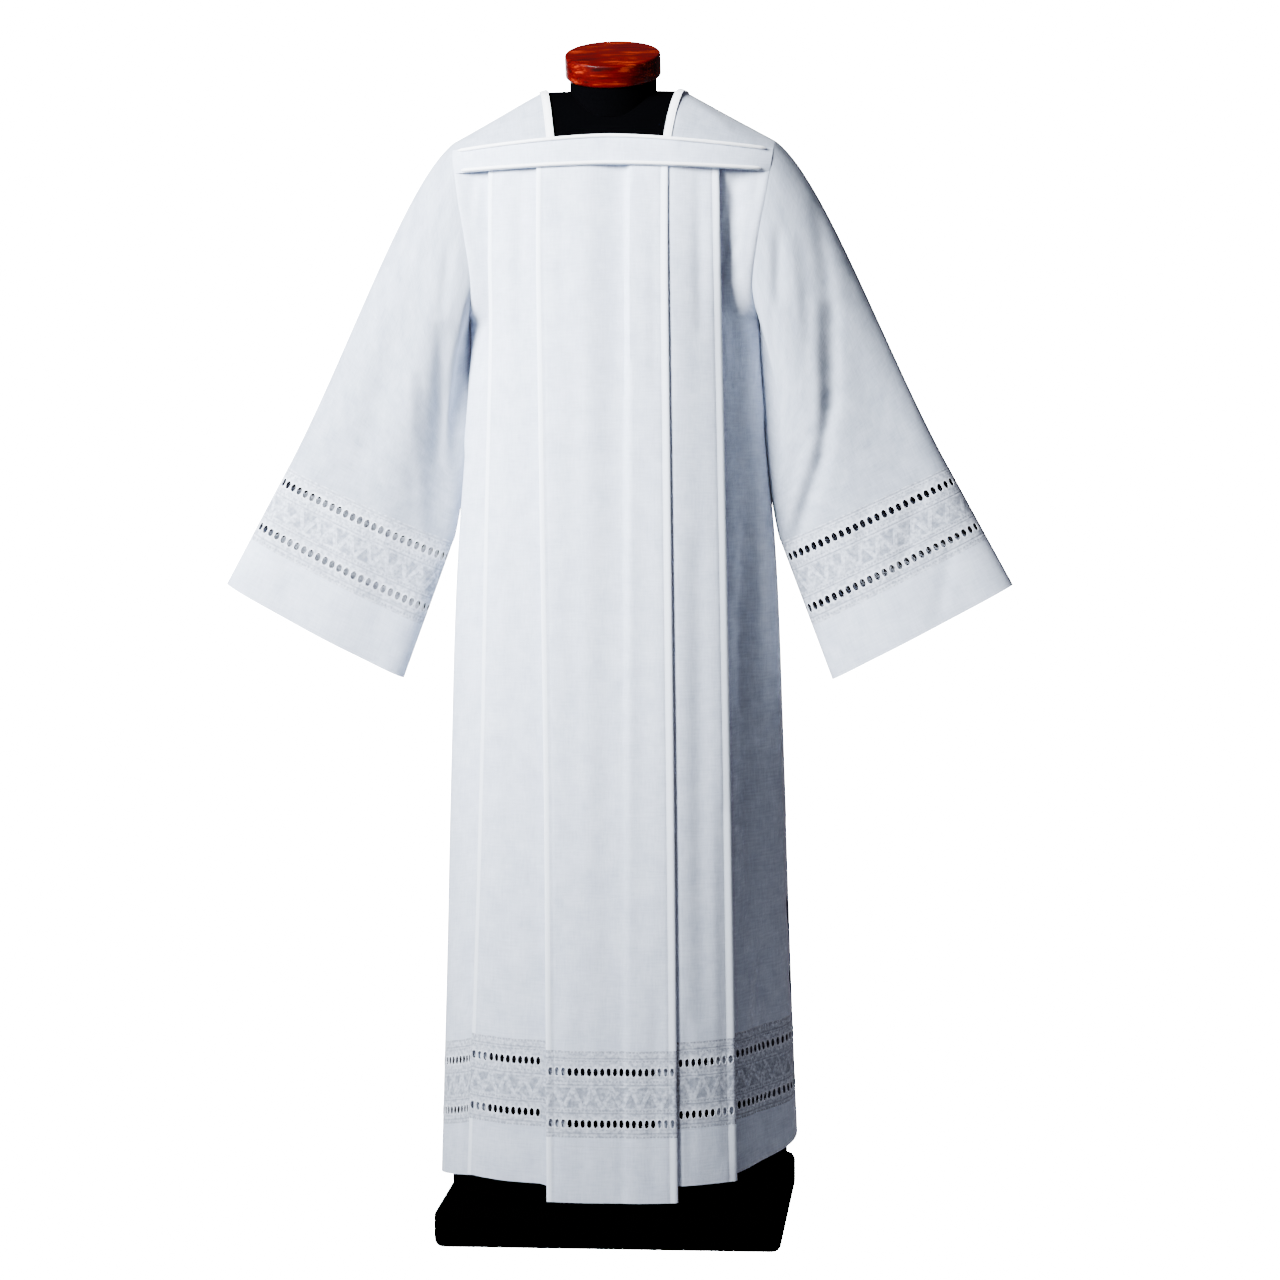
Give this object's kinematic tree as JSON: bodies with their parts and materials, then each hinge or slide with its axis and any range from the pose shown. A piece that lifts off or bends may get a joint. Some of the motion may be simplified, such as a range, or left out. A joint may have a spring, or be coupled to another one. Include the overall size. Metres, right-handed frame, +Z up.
{
  "type": "alb on a limbless dress form",
  "caption": "White pleated alb with a square neck, wide sleeves and openwork lace at cuffs and hem, on a limbless black dress form with a wooden neck cap.",
  "frame": {"origin": "centre of the base's underside, on the floor", "axes": "+Z up, the front of the garment faces -Y, +X is the wearer's left"},
  "size_m": [1.0358, 0.4075, 1.551],
  "materials": {
    "linen": "matt fine plain weave",
    "lace": "matt openwork lace",
    "trim": "smooth white piping and facing",
    "jersey": "matt black jersey cover",
    "wood": "dark red-brown varnish",
    "steel": "satin tube",
    "lacquer": "black satin lacquer"
  },
  "bodies": {
    "root": {"front_panel": "linen", "back_panel": "linen", "front_hem": "linen", "back_hem": "linen", "yoke": "linen", "front_band": "linen", "sleeve_left": "linen", "sleeve_right": "linen", "cuff_left": "linen", "cuff_right": "linen", "front_lace": "lace", "back_lace": "lace", "sleeve_lace_front_left": "lace", "sleeve_lace_front_right": "lace", "sleeve_lace_back_left": "lace", "sleeve_lace_back_right": "lace", "piping_lower": "trim", "piping_upper": "trim", "neck_facing_left": "trim", "neck_facing_right": "trim", "form_torso": "jersey", "form_cap": "wood", "form_pole": "steel", "form_base": "lacquer"}
  },
  "joints": []
}
